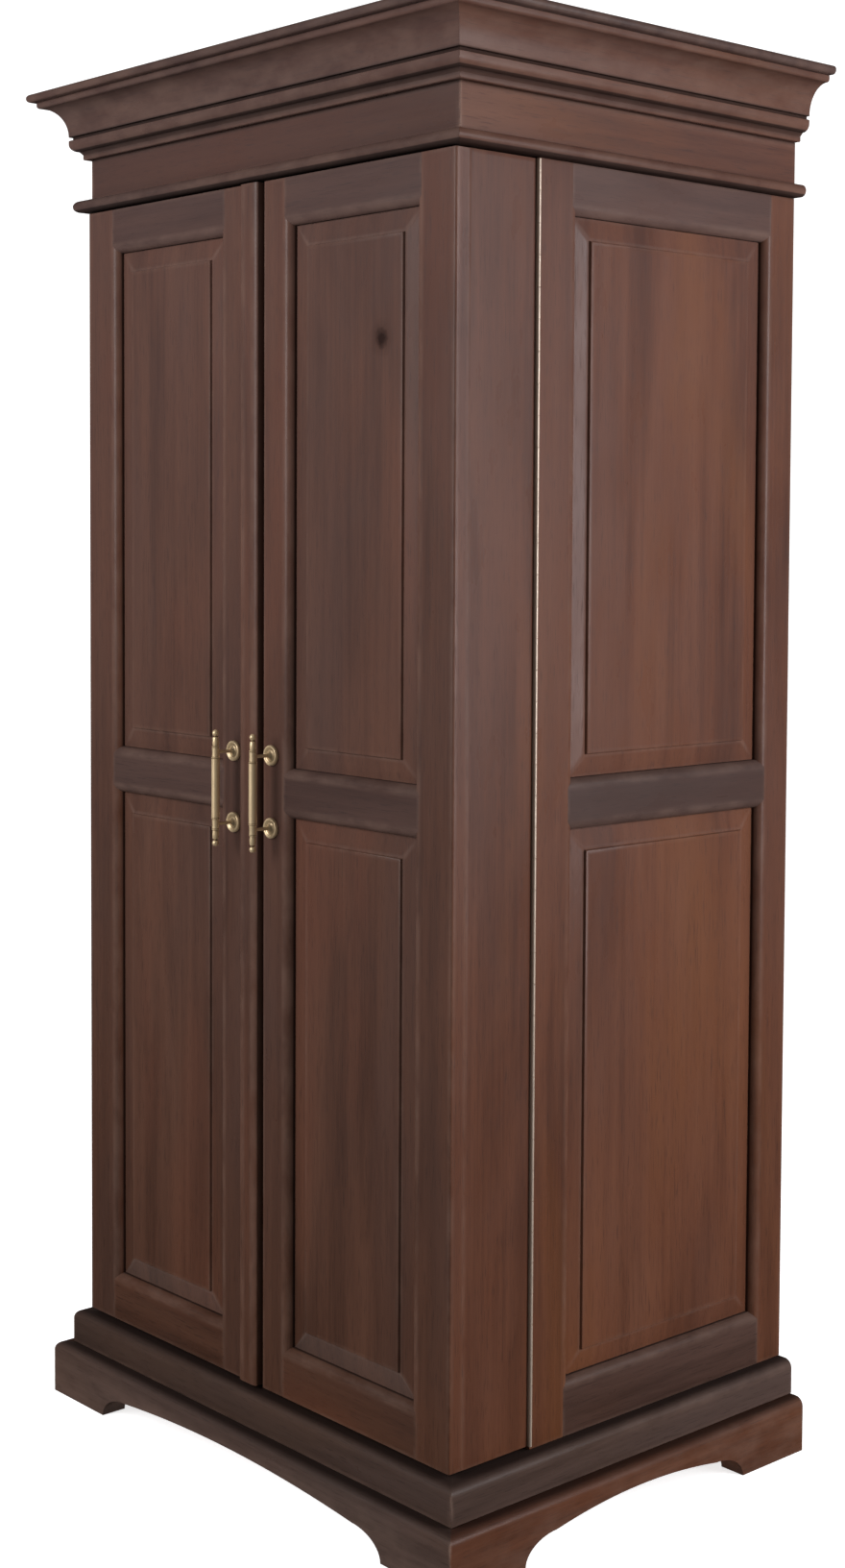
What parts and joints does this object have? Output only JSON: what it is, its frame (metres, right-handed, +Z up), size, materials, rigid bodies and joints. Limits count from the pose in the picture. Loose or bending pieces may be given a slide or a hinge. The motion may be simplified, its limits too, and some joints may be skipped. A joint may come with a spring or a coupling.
{
  "type": "wine cabinet",
  "caption": "Tall wine cabinet with two deep panelled doors on full-height hinges, stemware and bottle shelves inside, a coved cornice and a bracket plinth.",
  "frame": {"origin": "on the floor, under the middle of the overall plan, which the top board sets", "axes": "+Z up, +X to the right side seen from the front, -Y towards the front, where the doors are"},
  "size_m": [0.916, 0.692, 1.8999],
  "materials": {
    "mahogany": "satin",
    "mahogany_side": "satin",
    "mahogany_dark": "satin",
    "interior_wood": "satin",
    "brass": "polished"
  },
  "bodies": {
    "carcass": {"plinth_front": "mahogany", "left_plinth": "mahogany_side", "right_plinth": "mahogany_side", "plinth_rear_rail": "mahogany_dark", "base_moulding": "mahogany", "deck": "interior_wood", "back_panel": "interior_wood", "carcass_top": "interior_wood", "counter_shelf": "interior_wood", "bottle_shelf": "interior_wood", "stemware_shelf": "interior_wood", "frieze": "mahogany", "cornice": "mahogany", "top_board": "mahogany_dark", "left_side_frame": "mahogany_side", "left_side_lower_panel": "mahogany_side", "left_side_upper_panel": "mahogany_side", "left_hinge_carcass_leaf": "brass", "right_side_frame": "mahogany_side", "right_side_lower_panel": "mahogany_side", "right_side_upper_panel": "mahogany_side", "right_hinge_carcass_leaf": "brass"},
    "left_door": {"left_door_hinge_stile": "mahogany", "left_door_meeting_stile": "mahogany", "left_door_bottom_rail": "mahogany", "left_door_mid_rail": "mahogany", "left_door_top_rail": "mahogany", "left_door_lower_panel": "mahogany", "left_door_upper_panel": "mahogany", "left_door_meeting_side": "mahogany_dark", "left_door_hinge_side": "mahogany_side", "left_door_bottom_board": "mahogany_dark", "left_door_top_board": "mahogany_dark", "left_door_shelf": "interior_wood", "left_door_lower_guard": "interior_wood", "left_door_upper_guard": "interior_wood", "left_door_meeting_strip": "mahogany", "left_handle_bar": "brass", "left_handle_upper_post": "brass", "left_handle_lower_post": "brass", "left_hinge_door_leaf": "brass"},
    "right_door": {"right_door_hinge_stile": "mahogany", "right_door_meeting_stile": "mahogany", "right_door_bottom_rail": "mahogany", "right_door_mid_rail": "mahogany", "right_door_top_rail": "mahogany", "right_door_lower_panel": "mahogany", "right_door_upper_panel": "mahogany", "right_door_meeting_side": "mahogany_dark", "right_door_hinge_side": "mahogany_side", "right_door_bottom_board": "mahogany_dark", "right_door_top_board": "mahogany_dark", "right_door_shelf": "interior_wood", "right_door_lower_guard": "interior_wood", "right_door_upper_guard": "interior_wood", "right_handle_bar": "brass", "right_handle_upper_post": "brass", "right_handle_lower_post": "brass", "right_hinge_door_leaf": "brass"}
  },
  "joints": [
    {"name": "left_door_hinge", "type": "hinge", "parent": "carcass", "child": "left_door", "pos_m": [-0.3928, -0.1485, 0.928], "axis": [0, 0, -1], "range_deg": [0, 180]},
    {"name": "right_door_hinge", "type": "hinge", "parent": "carcass", "child": "right_door", "pos_m": [0.3928, -0.1485, 0.928], "axis": [0, 0, 1], "range_deg": [0, 180]}
  ]
}
